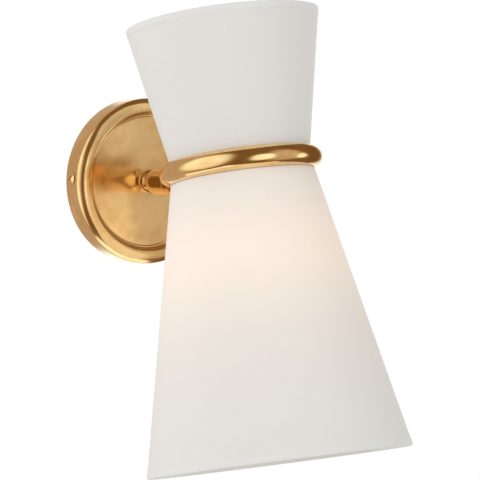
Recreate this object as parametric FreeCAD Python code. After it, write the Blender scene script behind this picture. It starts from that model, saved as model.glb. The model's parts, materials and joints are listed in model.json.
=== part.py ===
import FreeCAD, Part
import math
import os
from FreeCAD import Placement, Rotation, Vector

# A wall light: a spun brass backplate, a turned stem with a friction swivel, a brass ring, and two
# fabric cones that meet at the ring. A lampholder hangs in the ring with its bulb pointing down.
# Millimetres. The wall is the plane y = 0 and the room is at -Y. +Z is up.
# The origin is the centre of the backplate's open back, on the wall.

# Backplate and the plate behind it
PLATE_RADIUS = 60.0
PLATE_SHEET = 1.2
DISC_RADIUS = 46.4
DISC_DEPTH = 12.9
BOX_SCREW_SPACING = 88.9
SIDE_SCREW_DEPTH = 7.0
SIDE_SCREW_CLOCKING = 4.3
SIDE_SCREW_HOLE = 2.4
M4_TAPPED = 2.05
STRAP_SHEET = 1.6
EARTH_HEIGHT = -44.0
EARTH_BOSS_RISE = 4.6
WASHER_SHEET = 1.0

# Stem and swivel
STEM_RADIUS = 9.5
STEM_START = 14.3
STEM_END = 47.5
PIVOT_DEPTH = 64.0
PIVOT_TO_RING = 73.0
NIPPLE_RADIUS = 5.0
NIPPLE_BORE = 3.6
SWIVEL_SPLIT = 0.5
SWIVEL_HALF_WIDTH = 8.6
SWIVEL_CAVITY = 7.4
SWIVEL_REACH = 9.9
PIVOT_SCREW_RADIUS = 2.0
PIVOT_SCREW_OVERHANG = 5.4
RUNNING_CLEARANCE = 0.05
SWIVEL_GAP = 0.1
SPRING_WASHER_SHEET = 1.1
SLOT_HALF_WIDTH = 0.5
FINE_SLOT_HALF_WIDTH = 0.4
THREAD_FIT = 0.05

# Shade: heights are measured from the ring's mid plane along the shade's own axis
SHADE_TILT = 11.0
RING_RADIUS = 49.3
RING_TUBE = 7.7
RING_WALL = 1.4
UPPER_HEIGHT = 103.0
UPPER_RADIUS_AT_RING = 47.4
UPPER_RADIUS = 67.3
LOWER_HEIGHT = 205.8
LOWER_RADIUS_AT_RING = 48.4
LOWER_RADIUS = 91.8
FABRIC = 0.7
LINER = 0.5
WIRE_RADIUS = 1.25
HEM_SHEET = 0.5
HEM_DEPTH = 5.0
SEAT_GAP = 0.1

# Carrier that joins the two cones, the ring and the lampholder
LUG_ANGLES = (-90.0, 30.0, 150.0)
LUG_SHEET = 2.0
LUG_INNER = 32.5
CARRIER_SHEET = 1.5
TAB_SHEET = 1.2
CARRIER_SCREW_CIRCLE = 36.0
CARRIER_SCREW_RADIUS = 1.5

# Lampholder and bulb
SKIRT_RADIUS = 19.0
SKIRT_END = -26.0
FLOOR_LOW = 4.5
FLOOR_HIGH = 7.5
TERMINAL_SPACING = 9.0
TERMINAL_RADIUS = 1.4
TERMINAL_END = 5.5
RIVET_RADIUS = 1.25
SHELL_RADIUS = 13.35
BULB_CAP_RADIUS = 13.1
BULB_CAP_END = -22.0
BULB_TIP = 3.0
TIP_BASE = 1.8
CAP_TOP = -0.4
BULB_RADIUS = 30.0
BULB_CENTRE = -75.0
GLASS = 0.9

# Heights of the stack on the ring's lugs
LUG_TOP = LUG_SHEET / 2
CARRIER_TOP = LUG_TOP + CARRIER_SHEET
TAB_TOP = CARRIER_TOP + TAB_SHEET
TAB_BOTTOM = -LUG_TOP - TAB_SHEET

# Share of a bend's radius between its corner and the middle of its arc
BEND_SHARE = 1 - math.sqrt(0.5)

X_AXIS = Vector(1, 0, 0)
Y_AXIS = Vector(0, 1, 0)
Z_AXIS = Vector(0, 0, 1)
ORIGIN = Vector(0, 0, 0)


# ---------------------------------------------------------------- shaping

def cylinder(radius, start, end, axis=Z_AXIS, centre=ORIGIN):
    """A round bar along axis, from start to end."""
    base = centre + Vector(axis) * start
    return Part.makeCylinder(radius, end - start, base, axis)


def tube(outer, inner, start, end, axis=Z_AXIS, centre=ORIGIN):
    """A round bar with a bore right through."""
    return cylinder(outer, start, end, axis, centre).cut(cylinder(inner, start, end, axis, centre))


def box(low, high):
    """A block between two corners."""
    size = Vector(*high) - Vector(*low)
    return Part.makeBox(size.x, size.y, size.z, Vector(*low))


def section(start, *steps):
    """A closed face in the (radius, height) plane. A step is a point, or an arc's mid and end points."""
    edges = []
    here = Vector(start[0], 0, start[1])
    first = here
    for step in steps:
        if isinstance(step[0], tuple):
            middle = Vector(step[0][0], 0, step[0][1])
            there = Vector(step[1][0], 0, step[1][1])
            edges.append(Part.Arc(here, middle, there).toShape())
        else:
            there = Vector(step[0], 0, step[1])
            edges.append(Part.LineSegment(here, there).toShape())
        here = there
    if (here - first).Length > 1e-6:
        edges.append(Part.LineSegment(here, first).toShape())
    return Part.Face(Part.Wire(edges))


def turned(start, *steps):
    """A lathe-turned or spun solid about Z."""
    return section(start, *steps).revolve(ORIGIN, Z_AXIS, 360)


def dome(radius, low, high):
    """The arc step of a round head: from its edge at (radius, low) to its crown on the axis."""
    rise = high - low
    ball = (radius ** 2 + rise ** 2) / (2 * rise)
    half = math.asin(radius / ball) / 2
    return (ball * math.sin(half), high - ball * (1 - math.cos(half))), (0, high)


def cut_strip(outline, width):
    """A flat (radius, height) outline made into a strip of that width, centred on the X-Z plane."""
    face = section(*outline)
    face.translate(Vector(0, -width / 2, 0))
    return face.extrude(Vector(0, width, 0))


def hexagon(across_flats, start, end, axis=Z_AXIS, centre=ORIGIN):
    """A hexagonal prism along axis."""
    corner = across_flats / math.sqrt(3)
    points = [Vector(corner * math.cos(math.radians(60 * k)), corner * math.sin(math.radians(60 * k)), 0)
              for k in range(7)]
    prism = Part.Face(Part.makePolygon(points)).extrude(Vector(0, 0, end - start))
    prism.Placement = Placement(centre + Vector(axis) * start, Rotation(Z_AXIS, axis))
    return prism


def turned_to(shape, angle, axis=Z_AXIS):
    """A copy of shape turned about an axis through the origin."""
    copy = shape.copy()
    copy.rotate(ORIGIN, axis, angle)
    return copy


def off_wall(shape):
    """A piece built standing on +Z, laid so that its +Z points out of the wall."""
    return turned_to(shape, 90, X_AXIS)


def in_head(shape):
    """A piece built round the shade's own axis, tilted and carried out to the ring's centre."""
    placed = turned_to(shape, -SHADE_TILT, X_AXIS)
    reach = math.radians(SHADE_TILT)
    placed.translate(Vector(0, -PIVOT_DEPTH - PIVOT_TO_RING * math.cos(reach), PIVOT_TO_RING * math.sin(reach)))
    return placed


def upper_radius(height):
    """Outer radius of the upper cone at a height above the ring's mid plane."""
    return UPPER_RADIUS_AT_RING + (UPPER_RADIUS - UPPER_RADIUS_AT_RING) * height / UPPER_HEIGHT


def lower_radius(drop):
    """Outer radius of the lower cone at a drop below the ring's mid plane."""
    return LOWER_RADIUS_AT_RING + (LOWER_RADIUS - LOWER_RADIUS_AT_RING) * drop / LOWER_HEIGHT


# ---------------------------------------------------------------- on the wall

def mounting_plate():
    """Stamped steel disc behind the backplate: two slots for the box screws, two bent ears."""
    disc_radius = 53.0
    window_centre, window_radius = 27.0, 12.0
    slot_half_width, slot_half_length = 2.4, 6.0
    ear_outer, ear_width, ear_rise, ear_foot, bend = 57.7, 12.0, 13.0, 8.0, 2.0
    boss_radius = 4.5
    plate = cylinder(disc_radius, 0, STRAP_SHEET)
    for side in (-1, 1):
        window = cylinder(window_radius, 0, STRAP_SHEET, Z_AXIS, Vector(0, side * window_centre, 0))
        plate = plate.cut(window)
        middle = side * BOX_SCREW_SPACING / 2
        run = slot_half_length - slot_half_width
        slot = box((middle - run, -slot_half_width, 0), (middle + run, slot_half_width, STRAP_SHEET))
        for end in (-run, run):
            slot = slot.fuse(cylinder(slot_half_width, 0, STRAP_SHEET, Z_AXIS, Vector(middle + end, 0, 0)))
        plate = plate.cut(slot)
    boss = cylinder(boss_radius, 0, EARTH_BOSS_RISE, Z_AXIS, Vector(0, EARTH_HEIGHT, 0))
    tapping = cylinder(M4_TAPPED, 0, EARTH_BOSS_RISE, Z_AXIS, Vector(0, EARTH_HEIGHT, 0))
    plate = plate.fuse(boss).cut(tapping)
    ear_inner = ear_outer - STRAP_SHEET
    corner = bend * BEND_SHARE
    ear = section((ear_inner - ear_foot, 0), (ear_outer - bend, 0),
                  ((ear_outer - corner, corner), (ear_outer, bend)), (ear_outer, ear_rise),
                  (ear_inner, ear_rise), (ear_inner, STRAP_SHEET), (ear_inner - ear_foot, STRAP_SHEET))
    ear.translate(Vector(0, -ear_width / 2, 0))
    ear = ear.extrude(Vector(0, ear_width, 0))
    ear = ear.cut(cylinder(M4_TAPPED, ear_inner - 1, ear_outer + 1, X_AXIS, Vector(0, 0, SIDE_SCREW_DEPTH)))
    for side in (0, 180):
        plate = plate.fuse(turned_to(ear, side - SIDE_SCREW_CLOCKING))
    return off_wall(plate.removeSplitter())


def earth_screw():
    """Pan-head screw for the earth wire, in the plate's raised boss."""
    head_radius, head_top, slot_bottom = 4.2, 7.0, 6.1
    centre = Vector(0, EARTH_HEIGHT, 0)
    head = cylinder(head_radius, EARTH_BOSS_RISE, head_top, Z_AXIS, centre)
    shank = cylinder(PIVOT_SCREW_RADIUS, 0, EARTH_BOSS_RISE, Z_AXIS, centre)
    slot = box((-head_radius - 1, EARTH_HEIGHT - SLOT_HALF_WIDTH, slot_bottom),
               (head_radius + 1, EARTH_HEIGHT + SLOT_HALF_WIDTH, head_top + 1))
    return off_wall(head.fuse(shank).cut(slot))


def arc_about(centre, radius, first, last):
    """An arc step about centre, its angles measured in degrees from straight out of the wall."""
    points = []
    for angle in ((first + last) / 2, last):
        lean = math.radians(angle)
        points.append((centre[0] + radius * math.sin(lean), centre[1] + radius * math.cos(lean)))
    return tuple(points)


def backplate():
    """Spun brass dish: straight rim, rolled shoulder, broad bead and a sunk flat disc inside a small step."""
    shoulder, crown, fall = 3.6, 9.2, 4.6
    shoulder_lean, fall_lean = 45.0, -80.0
    rim_end = 14.0
    rim = PLATE_RADIUS
    inside = rim - PLATE_SHEET
    bore = NIPPLE_RADIUS + 0.2
    shoulder_centre = (rim - shoulder, rim_end)
    offset = (crown - shoulder) * math.sin(math.radians(shoulder_lean))
    crown_centre = (shoulder_centre[0] - offset, shoulder_centre[1] - offset)
    fall_centre = (crown_centre[0], crown_centre[1] + crown - fall)
    step_out, step_high, step_low = 47.9, 14.9, 14.2
    flange = DISC_RADIUS + PLATE_SHEET
    inner_shoulder = arc_about(shoulder_centre, shoulder - PLATE_SHEET, shoulder_lean, 90)
    inner_crown = arc_about(crown_centre, crown - PLATE_SHEET, 0, shoulder_lean)
    inner_fall = arc_about(fall_centre, fall - PLATE_SHEET, fall_lean, 0)
    dish = turned(
        (rim, 0), (rim, rim_end), arc_about(shoulder_centre, shoulder, 90, shoulder_lean),
        arc_about(crown_centre, crown, shoulder_lean, 0), arc_about(fall_centre, fall, 0, fall_lean),
        (step_out, step_high), (DISC_RADIUS + 0.6, step_high - 0.3), (DISC_RADIUS, step_low),
        (DISC_RADIUS, DISC_DEPTH), (bore, DISC_DEPTH), (bore, DISC_DEPTH - PLATE_SHEET),
        (flange, DISC_DEPTH - PLATE_SHEET), (flange, step_low - 0.6),
        (step_out + PLATE_SHEET, step_high - 0.8),
        arc_about(fall_centre, fall - PLATE_SHEET, fall_lean, fall_lean)[1],
        inner_fall, inner_crown, inner_shoulder, (inside, 0))
    for side in (0, 180):
        hole = cylinder(SIDE_SCREW_HOLE, rim - 5, rim + 5, X_AXIS, Vector(0, 0, SIDE_SCREW_DEPTH))
        dish = dish.cut(turned_to(hole, side - SIDE_SCREW_CLOCKING))
    return off_wall(dish)


def side_screws():
    """Two slotted round-head screws through the rim into the mounting plate's ears."""
    head_radius, edge, head_height, slot_depth, slot_turn, shank_end = 4.4, 0.5, 1.7, 1.0, 38, -6.5
    screws = []
    for side in (0, 180):
        head = turned((0, 0), (head_radius, 0), (head_radius, edge), dome(head_radius, edge, head_height))
        slot = box((-head_radius - 1, -SLOT_HALF_WIDTH, head_height - slot_depth),
                   (head_radius + 1, SLOT_HALF_WIDTH, head_height + 1))
        screw = head.cut(turned_to(slot, slot_turn)).fuse(cylinder(PIVOT_SCREW_RADIUS, shank_end, 0))
        screw.Placement = Placement(Vector(PLATE_RADIUS, 0, SIDE_SCREW_DEPTH), Rotation(Z_AXIS, X_AXIS))
        screws.append(off_wall(turned_to(screw, side - SIDE_SCREW_CLOCKING)))
    return Part.makeCompound(screws)


def stem_flange():
    """Turned cup that the stem's foot sits in, with a rounded lip."""
    outer, lip, crown, recess, foot = 8.5, 15.2, 15.85, STEM_START, 6.9
    bore = NIPPLE_RADIUS + 0.1
    return off_wall(turned((bore, DISC_DEPTH), (outer, DISC_DEPTH), (outer, lip),
                           (((outer + foot) / 2, crown), (foot, lip)), (foot - 0.2, recess), (bore, recess)))


def stem():
    """Turned brass stem: a small bead, a waist, and a long flare into a plain barrel."""
    foot, bead, waist, chamfer = 6.0, 6.55, 5.9, 0.5
    bore = NIPPLE_RADIUS + 0.1
    return off_wall(turned(
        (bore, STEM_START), (foot, STEM_START), (foot, 15.6), ((bead, 16.7), (foot, 17.8)), (waist, 18.4),
        ((6.75, 20.9), (8.1, 23.6)), ((9.15, 27.4), (STEM_RADIUS, 31.5)), (STEM_RADIUS, STEM_END - chamfer),
        (STEM_RADIUS - chamfer, STEM_END), (bore, STEM_END)))


def stem_nipple():
    """Threaded brass pipe that draws the swivel, stem, flange and backplate together."""
    room_end, swivel_end = 7.0, PIVOT_DEPTH - SWIVEL_REACH - 0.6
    return off_wall(tube(NIPPLE_RADIUS, NIPPLE_BORE, room_end, swivel_end))


def nipple_washer():
    """Steel washer under the locknut, against the backplate's inside."""
    washer_radius = 9.0
    back = DISC_DEPTH - PLATE_SHEET
    return off_wall(tube(washer_radius, NIPPLE_RADIUS + 0.1, back - WASHER_SHEET, back))


def nipple_locknut():
    """Thin hexagonal locknut on the pipe, inside the backplate."""
    across_flats, height = 14.0, 2.6
    top = DISC_DEPTH - PLATE_SHEET - WASHER_SHEET
    nut = hexagon(across_flats, top - height, top)
    return off_wall(nut.cut(cylinder(NIPPLE_RADIUS + THREAD_FIT, top - height - 1, top + 1)))


# ---------------------------------------------------------------- swivel
# Each half is built about the pivot, its drum on the -X side and its neck along +Y.

def swivel_half(collar_radius, collar_end):
    """Cast brass half: an open drum, a half-width neck and a full collar, hollow for the wires."""
    drum_floor, neck_radius, wire_way_start = 1.6, STEM_RADIUS - 1.0, 4.0
    drum = cylinder(STEM_RADIUS, -SWIVEL_HALF_WIDTH, -SWIVEL_SPLIT, X_AXIS)
    neck = cylinder(neck_radius, 0, SWIVEL_REACH + 0.5, Y_AXIS)
    neck = neck.common(box((-neck_radius, -1, -neck_radius), (-SWIVEL_SPLIT, SWIVEL_REACH, neck_radius)))
    collar = cylinder(collar_radius, SWIVEL_REACH, collar_end, Y_AXIS)
    body = drum.fuse(neck).fuse(collar)
    cavity = cylinder(SWIVEL_CAVITY, -SWIVEL_HALF_WIDTH + drum_floor, 0, X_AXIS)
    wire_way = cylinder(NIPPLE_BORE, wire_way_start, collar_end + 1, Y_AXIS)
    screw_hole = cylinder(PIVOT_SCREW_RADIUS + RUNNING_CLEARANCE, -SWIVEL_HALF_WIDTH - 1, 0, X_AXIS)
    return body.cut(cavity).cut(wire_way).cut(screw_hole).removeSplitter()


def swivel_stem_half():
    """The half that stays with the stem, screwed on the threaded pipe."""
    collar_end = PIVOT_DEPTH - STEM_END
    half = swivel_half(STEM_RADIUS, collar_end)
    half = half.cut(cylinder(NIPPLE_RADIUS + THREAD_FIT, SWIVEL_REACH + 0.4, collar_end + 1, Y_AXIS))
    half.translate(Vector(0, -PIVOT_DEPTH, 0))
    return half


def friction_washer():
    """Fibre washer between the two drums, whose grip holds the shade where it is put."""
    washer = tube(STEM_RADIUS - 0.1, SWIVEL_CAVITY + 0.1, -SWIVEL_SPLIT, SWIVEL_SPLIT - SWIVEL_GAP, X_AXIS)
    washer.translate(Vector(0, -PIVOT_DEPTH, 0))
    return washer


def pivot_screw():
    """Slotted cheese-head screw that both drums turn on."""
    head_radius, head_height, slot_depth = 3.8, 2.4, 1.1
    head_start = -SWIVEL_HALF_WIDTH - head_height
    head = cylinder(head_radius, head_start, -SWIVEL_HALF_WIDTH, X_AXIS)
    slot = box((head_start - 1, -SLOT_HALF_WIDTH, -head_radius - 1),
               (head_start + slot_depth, SLOT_HALF_WIDTH, head_radius + 1))
    shank = cylinder(PIVOT_SCREW_RADIUS, -SWIVEL_HALF_WIDTH, SWIVEL_HALF_WIDTH + PIVOT_SCREW_OVERHANG, X_AXIS)
    screw = head.cut(slot).fuse(shank)
    screw.translate(Vector(0, -PIVOT_DEPTH, 0))
    return screw


def spring_washer():
    """Split spring washer that keeps the swivel's grip as it wears."""
    outer, split_half_width = 4.1, 0.4
    start = SWIVEL_HALF_WIDTH + SWIVEL_GAP
    end = start + SPRING_WASHER_SHEET
    washer = tube(outer, PIVOT_SCREW_RADIUS + 0.15, start, end, X_AXIS)
    washer = washer.cut(box((start - 1, 0, -split_half_width), (end + 1, outer + 1, split_half_width)))
    washer.translate(Vector(0, -PIVOT_DEPTH, 0))
    return washer


def pivot_nut():
    """Domed cap nut on the pivot screw."""
    across_flats, hexagon_height, crown_radius, full_height = 7.0, 3.2, 3.4, 6.2
    start = SWIVEL_HALF_WIDTH + SWIVEL_GAP + SPRING_WASHER_SHEET
    nut = hexagon(across_flats, start, start + hexagon_height, X_AXIS)
    crown = turned((0, hexagon_height), (crown_radius, hexagon_height),
                   dome(crown_radius, hexagon_height, full_height))
    crown.Placement = Placement(Vector(start, 0, 0), Rotation(Z_AXIS, X_AXIS))
    bore_end = SWIVEL_HALF_WIDTH + PIVOT_SCREW_OVERHANG + 0.1
    bore = cylinder(PIVOT_SCREW_RADIUS + THREAD_FIT, start - 1, bore_end, X_AXIS)
    nut = nut.fuse(crown).cut(bore)
    nut.translate(Vector(0, -PIVOT_DEPTH, 0))
    return nut


def ring_solid():
    """The ring's outer shape, filled."""
    return Part.makeTorus(RING_RADIUS, RING_TUBE)


def swivel_ring_half():
    """The half that turns with the shade: its collar is saddled to the ring and its spigot goes through."""
    collar, overhang, saddle_depth = 7.4, 4.0, 2.0
    ring_back = RING_RADIUS + RING_TUBE
    spigot_end = RING_RADIUS - RING_TUBE - overhang
    half = swivel_half(collar, PIVOT_TO_RING - ring_back + saddle_depth)
    half = turned_to(half, 180)
    half.translate(Vector(0, PIVOT_TO_RING, 0))
    half = half.cut(ring_solid())
    spigot = cylinder(NIPPLE_RADIUS, spigot_end, ring_back + 1.5, Y_AXIS)
    half = half.fuse(spigot).cut(cylinder(NIPPLE_BORE, spigot_end - 1, PIVOT_TO_RING - 5, Y_AXIS))
    return in_head(half.removeSplitter())


def saddle_washer():
    """Brass washer hollowed to the ring's inner curve."""
    outer, saddle_reach = 7.0, 3.0
    inner_face = RING_RADIUS - RING_TUBE
    washer = tube(outer, NIPPLE_RADIUS + 0.1, inner_face - WASHER_SHEET, inner_face + saddle_reach, Y_AXIS)
    return in_head(washer.cut(ring_solid()))


def spigot_nut():
    """Hexagonal nut on the spigot, inside the ring."""
    across_flats, height = 13.0, 2.4
    face = RING_RADIUS - RING_TUBE - WASHER_SHEET
    nut = hexagon(across_flats, face - height, face, Y_AXIS)
    return in_head(nut.cut(cylinder(NIPPLE_RADIUS + THREAD_FIT, face - height - 1, face + 1, Y_AXIS)))


# ---------------------------------------------------------------- ring and carrier

def carrier_screw_hole(start, end):
    """Clearance hole for a carrier screw."""
    return cylinder(CARRIER_SCREW_RADIUS + 0.1, start, end, Z_AXIS, Vector(CARRIER_SCREW_CIRCLE, 0, 0))


def waist_ring():
    """Brass tube bent to a ring, with a hole for the spigot and three lugs brazed inside."""
    lug_width = 14.0
    wall_centre = RING_RADIUS - RING_TUBE + RING_WALL / 2
    ring = ring_solid().cut(Part.makeTorus(RING_RADIUS, RING_TUBE - RING_WALL))
    ring = ring.cut(cylinder(NIPPLE_RADIUS + THREAD_FIT, RING_RADIUS - 12, RING_RADIUS + 12, Y_AXIS))
    lug = box((LUG_INNER, -lug_width / 2, -LUG_TOP), (wall_centre, lug_width / 2, LUG_TOP))
    lug = lug.cut(carrier_screw_hole(-LUG_SHEET, LUG_SHEET))
    for angle in LUG_ANGLES:
        ring = ring.fuse(turned_to(lug, angle))
    return in_head(ring)


def shade_carrier():
    """Pressed steel spider: a hub round the lampholder's skirt and three arms on the ring's lugs."""
    arm_width, arm_end, hub_outer = 11.0, 41.0, 26.0
    hub_hole = SKIRT_RADIUS + 0.2
    carrier = cylinder(hub_outer, LUG_TOP, CARRIER_TOP)
    arm = box((hub_outer - 3, -arm_width / 2, LUG_TOP), (arm_end, arm_width / 2, CARRIER_TOP))
    arm = arm.cut(carrier_screw_hole(0, TAB_TOP))
    for angle in LUG_ANGLES:
        carrier = carrier.fuse(turned_to(arm, angle))
    return in_head(carrier.cut(cylinder(hub_hole, 0, TAB_TOP)).removeSplitter())


def carrier_screws():
    """Three pan-head screws through tab, carrier arm, lug and tab."""
    head_radius, shank_end = 2.8, -6.2
    edge, crown, slot_bottom = TAB_TOP + 0.9, TAB_TOP + 2.1, TAB_TOP + 1.2
    screws = []
    for angle in LUG_ANGLES:
        centre = Vector(CARRIER_SCREW_CIRCLE, 0, 0)
        head = turned((0, TAB_TOP), (head_radius, TAB_TOP), (head_radius, edge), dome(head_radius, edge, crown))
        head = head.cut(box((-head_radius - 1, -FINE_SLOT_HALF_WIDTH, slot_bottom),
                            (head_radius + 1, FINE_SLOT_HALF_WIDTH, crown + 1)))
        head.translate(centre)
        screw = head.fuse(cylinder(CARRIER_SCREW_RADIUS, shank_end, TAB_TOP, Z_AXIS, centre))
        screws.append(in_head(turned_to(screw, angle)))
    return Part.makeCompound(screws)


def carrier_nuts():
    """Three hexagonal nuts under the lower tabs."""
    across_flats, height = 5.5, 2.4
    low = TAB_BOTTOM - height
    nuts = []
    for angle in LUG_ANGLES:
        centre = Vector(CARRIER_SCREW_CIRCLE, 0, 0)
        nut = hexagon(across_flats, low, TAB_BOTTOM, Z_AXIS, centre)
        nut = nut.cut(cylinder(CARRIER_SCREW_RADIUS + THREAD_FIT, low - 1, TAB_BOTTOM + 1, Z_AXIS, centre))
        nuts.append(in_head(turned_to(nut, angle)))
    return Part.makeCompound(nuts)


# ---------------------------------------------------------------- shade
# One shape serves both cones. The lower cone is built upside down and turned over.

def cone_layer(radius_at, inset, thickness, start, end):
    """One layer of a cone's wall, from one height to another."""
    return turned((radius_at(start) - inset, start), (radius_at(end) - inset, end),
                  (radius_at(end) - inset - thickness, end), (radius_at(start) - inset - thickness, start))


def edge_wire(radius_at, height):
    """Wire hoop against the inside of the cone's wall at a height."""
    centre = radius_at(height) - FABRIC - LINER - WIRE_RADIUS - SEAT_GAP
    return Part.makeTorus(centre, WIRE_RADIUS, Vector(0, 0, height), Z_AXIS)


def rolled_hem(radius_at, height):
    """Band of the same fabric, rolled over the wall's edge and the wire."""
    wall = FABRIC + LINER + 2 * WIRE_RADIUS + 4 * SEAT_GAP
    low = height - HEM_DEPTH
    inner_top = height - HEM_SHEET
    bend = 1.6
    corner = bend * BEND_SHARE
    outer = radius_at(height) + HEM_SHEET
    inner = outer - wall - 2 * HEM_SHEET
    slope = radius_at(height) - radius_at(low)
    band = turned((outer - slope, low), (outer, height - bend),
                  ((outer - corner, height - corner), (outer - bend, height)), (inner + bend, height),
                  ((inner + corner, height - corner), (inner, height - bend)), (inner - slope, low))
    room = turned((outer - slope - HEM_SHEET, low), (outer - HEM_SHEET, inner_top),
                  (inner + HEM_SHEET, inner_top), (inner - slope + HEM_SHEET, low))
    return band.cut(room)


def waist_wire(radius_at, tab_base):
    """Wire hoop that rests on the ring, with three joggled tabs welded to it."""
    tab_width, riser = 8.0, 39.4
    reach = RING_TUBE + WIRE_RADIUS + SEAT_GAP
    centre = radius_at(reach) - FABRIC - LINER - WIRE_RADIUS - 3 * SEAT_GAP
    height = math.sqrt(reach ** 2 - (RING_RADIUS - centre) ** 2)
    wire = Part.makeTorus(centre, WIRE_RADIUS, Vector(0, 0, height), Z_AXIS)
    shelf = height + 0.6
    outline = ((centre, shelf), (riser, shelf), (riser, tab_base + TAB_SHEET),
               (LUG_INNER, tab_base + TAB_SHEET), (LUG_INNER, tab_base), (riser + TAB_SHEET, tab_base),
               (riser + TAB_SHEET, shelf - TAB_SHEET), (centre, shelf - TAB_SHEET))
    tab = cut_strip(outline, tab_width)
    tab = tab.cut(carrier_screw_hole(0, tab_base + TAB_SHEET + 1))
    for angle in LUG_ANGLES:
        wire = wire.fuse(turned_to(tab, angle))
    return wire


def turned_over(shape):
    """The same piece hanging below the ring: a mirror image, which keeps the tabs in line."""
    return shape.mirror(ORIGIN, Z_AXIS)


def shade_pieces(radius_at, height, tab_base):
    """Fabric, liner, edge wire, hem and waist wire of one cone, standing on the ring."""
    start = RING_TUBE + SEAT_GAP
    end = height - HEM_SHEET - SEAT_GAP
    fabric = cone_layer(radius_at, 0, FABRIC, start, end)
    liner = cone_layer(radius_at, FABRIC, LINER, start + 0.3, end)
    wire = edge_wire(radius_at, height - HEM_SHEET - WIRE_RADIUS - SEAT_GAP)
    return fabric, liner, wire, rolled_hem(radius_at, height), waist_wire(radius_at, tab_base)


# ---------------------------------------------------------------- lampholder and bulb

def lampholder_body():
    """Moulded body: a threaded skirt through the carrier's hub, a flange above it, and a deep socket."""
    flange, boss, bore, boss_top = 22.5, 17.5, 14.4, 12.0
    flange_top = CARRIER_TOP + 3.0
    body = turned((bore, SKIRT_END), (SKIRT_RADIUS, SKIRT_END), (SKIRT_RADIUS, CARRIER_TOP),
                  (flange, CARRIER_TOP), (flange, flange_top), (boss, flange_top), (boss, boss_top),
                  (boss - 2, boss_top), (boss - 2, FLOOR_HIGH), (0, FLOOR_HIGH), (0, FLOOR_LOW),
                  (bore, FLOOR_LOW))
    for side in (-TERMINAL_SPACING, TERMINAL_SPACING):
        hole = cylinder(TERMINAL_RADIUS + 0.1, TERMINAL_END - 0.1, FLOOR_HIGH + 1, Z_AXIS, Vector(side, 0, 0))
        body = body.cut(hole)
    return in_head(body.cut(cylinder(RIVET_RADIUS + THREAD_FIT, FLOOR_LOW - 1, FLOOR_HIGH + 1)))


def lampholder_ring():
    """Threaded ring that clamps the carrier's hub against the flange, with finger notches."""
    outer, depth, notch_radius, notch_centre, notch_top, count = 24.5, 6.0, 1.6, 25.1, LUG_TOP - 1.5, 18
    low = LUG_TOP - depth
    ring = tube(outer, SKIRT_RADIUS + THREAD_FIT, low, LUG_TOP)
    notch = cylinder(notch_radius, low - 1, notch_top, Z_AXIS, Vector(notch_centre, 0, 0))
    for k in range(count):
        ring = ring.cut(turned_to(notch, 360 / count * k))
    return in_head(ring)


def lampholder_cap():
    """Domed cap over the terminals, with a neck where the wires come in."""
    base, side_top, neck_top = CARRIER_TOP + 3.0, 15.0, 32.0
    inner, outer, wire_way, neck = 17.6, 19.6, 3.8, 6.5
    return in_head(turned(
        (inner, base), (outer, base), (outer, side_top), ((16.2, 23.2), (8.0, 27.0)), (neck, 28.0),
        (neck, neck_top), (wire_way, neck_top), (wire_way, 26.0), ((14.9, 21.6), (inner, side_top))))


def screw_shell():
    """Brass threaded shell that the bulb's cap turns in."""
    mouth, sheet, end_opening = -22.5, 0.5, 9.0
    outer = SHELL_RADIUS + sheet
    return in_head(turned((SHELL_RADIUS, mouth), (outer, mouth), (outer, FLOOR_LOW), (end_opening, FLOOR_LOW),
                          (end_opening, FLOOR_LOW - sheet), (SHELL_RADIUS, FLOOR_LOW - sheet)))


def centre_contact():
    """Sprung bronze tongue that presses on the bulb's tip, riveted to the socket's floor."""
    width, start, end, sheet, rivet_top = 5.0, -6.5, 2.2, 0.4, 8.2
    pressed = BULB_TIP + 0.05
    strip = cut_strip(((start, FLOOR_LOW), (start, FLOOR_LOW - sheet), (-3.6, 3.9), (-1.2, pressed),
                       (end, pressed), (end, pressed + sheet), (-0.9, pressed + sheet), (-3.2, FLOOR_LOW)),
                      width)
    rivet = cylinder(RIVET_RADIUS, FLOOR_LOW - 0.2, rivet_top)
    stalk = box((-RIVET_RADIUS, -RIVET_RADIUS, pressed + 0.15), (RIVET_RADIUS, RIVET_RADIUS, FLOOR_LOW))
    return in_head(strip.fuse(stalk).fuse(rivet))


def terminal_screws():
    """Two binding screws on the floor's upper side."""
    head_radius, head_top, slot_bottom = 3.0, 9.6, 8.7
    screws = []
    for side in (-TERMINAL_SPACING, TERMINAL_SPACING):
        centre = Vector(side, 0, 0)
        head = cylinder(head_radius, FLOOR_HIGH, head_top, Z_AXIS, centre)
        slot = box((side - head_radius - 1, -FINE_SLOT_HALF_WIDTH, slot_bottom),
                   (side + head_radius + 1, FINE_SLOT_HALF_WIDTH, head_top + 1))
        shank = cylinder(TERMINAL_RADIUS, TERMINAL_END, FLOOR_HIGH, Z_AXIS, centre)
        screws.append(in_head(head.cut(slot).fuse(shank)))
    return Part.makeCompound(screws)


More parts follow.
